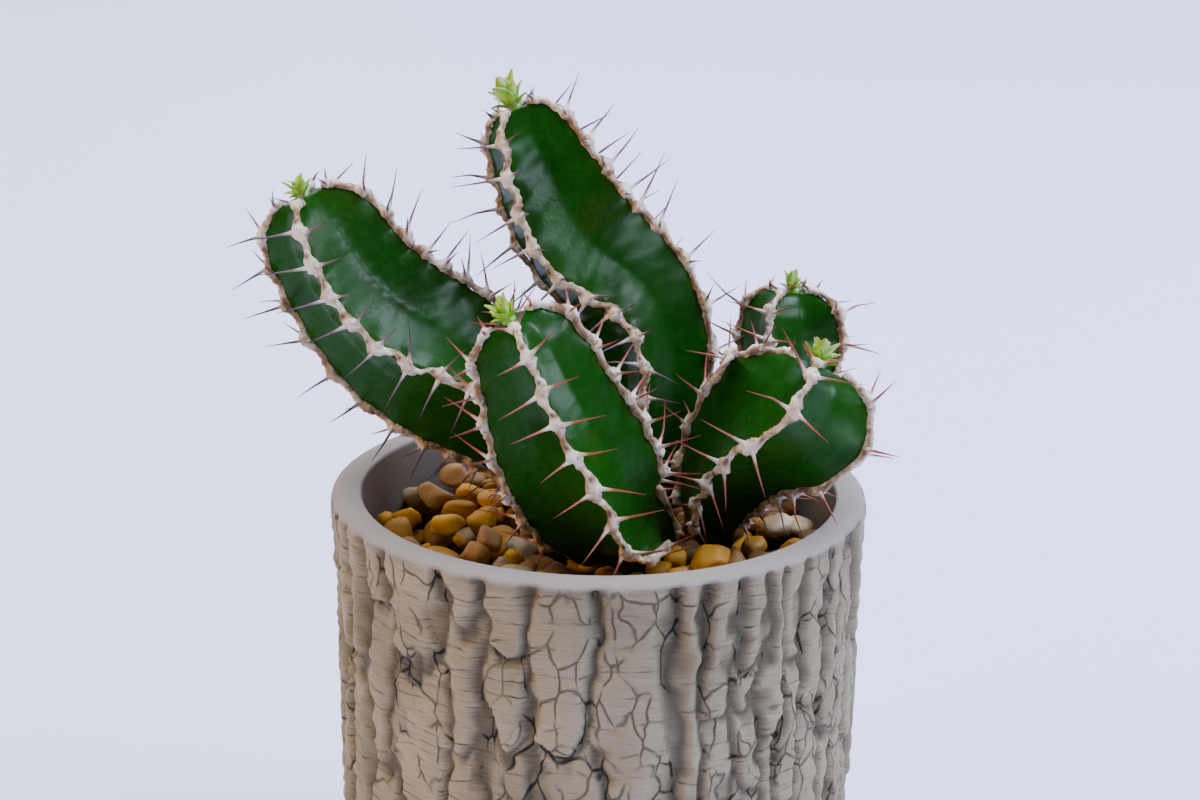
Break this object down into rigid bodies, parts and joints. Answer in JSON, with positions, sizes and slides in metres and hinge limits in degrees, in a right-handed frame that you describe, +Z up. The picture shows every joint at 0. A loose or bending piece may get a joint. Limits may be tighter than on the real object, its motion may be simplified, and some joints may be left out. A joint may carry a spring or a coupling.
{
  "type": "potted euphorbia",
  "caption": "Spiny four-angled succulent stems with pale horny margins, growing from pebble-topped soil in a round pot moulded to look like tree bark.",
  "frame": {"origin": "the pot's axis at the underside of its foot", "axes": "+Z up along the pot's axis, -Y towards the side that the plant shows best, +X to the right seen from that side"},
  "size_m": [0.1133, 0.09, 0.1573],
  "materials": {
    "pot": "matt, moulded bark relief",
    "soil": "loose potting mix",
    "gravel": "small stones",
    "pebble_amber": "water-worn, satin",
    "pebble_tan": "water-worn, satin",
    "pebble_pale": "water-worn, satin",
    "stem": "waxy, semi-gloss plant skin",
    "margin": "dry, horny, matt",
    "leaf": "soft, satin leaf"
  },
  "bodies": {
    "root": {"pot": "pot", "soil": "soil", "gravel_bed": "gravel", "pebble_01": "pebble_tan", "pebble_02": "pebble_pale", "pebble_03": "pebble_amber", "pebble_04": "pebble_tan", "pebble_05": "pebble_pale", "pebble_06": "pebble_amber", "pebble_07": "pebble_tan", "pebble_08": "pebble_pale", "pebble_09": "pebble_amber", "pebble_10": "pebble_tan", "pebble_11": "pebble_pale", "pebble_12": "pebble_amber", "pebble_13": "pebble_tan", "pebble_14": "pebble_pale", "pebble_15": "pebble_amber", "pebble_16": "pebble_tan", "pebble_17": "pebble_pale", "pebble_18": "pebble_amber", "stem_left": "stem", "margin_left_1": "margin", "margin_left_2": "margin", "margin_left_3": "margin", "margin_left_4": "margin", "leaves_left": "leaf", "stem_tall": "stem", "margin_tall_1": "margin", "margin_tall_2": "margin", "margin_tall_3": "margin", "margin_tall_4": "margin", "leaves_tall": "leaf", "stem_front": "stem", "margin_front_1": "margin", "margin_front_2": "margin", "margin_front_3": "margin", "margin_front_4": "margin", "leaves_front": "leaf", "stem_right": "stem", "margin_right_1": "margin", "margin_right_2": "margin", "margin_right_3": "margin", "margin_right_4": "margin", "leaves_right": "leaf", "stem_back_right": "stem", "margin_back_right_1": "margin", "margin_back_right_2": "margin", "margin_back_right_3": "margin", "margin_back_right_4": "margin", "leaves_back_right": "leaf"}
  },
  "joints": []
}
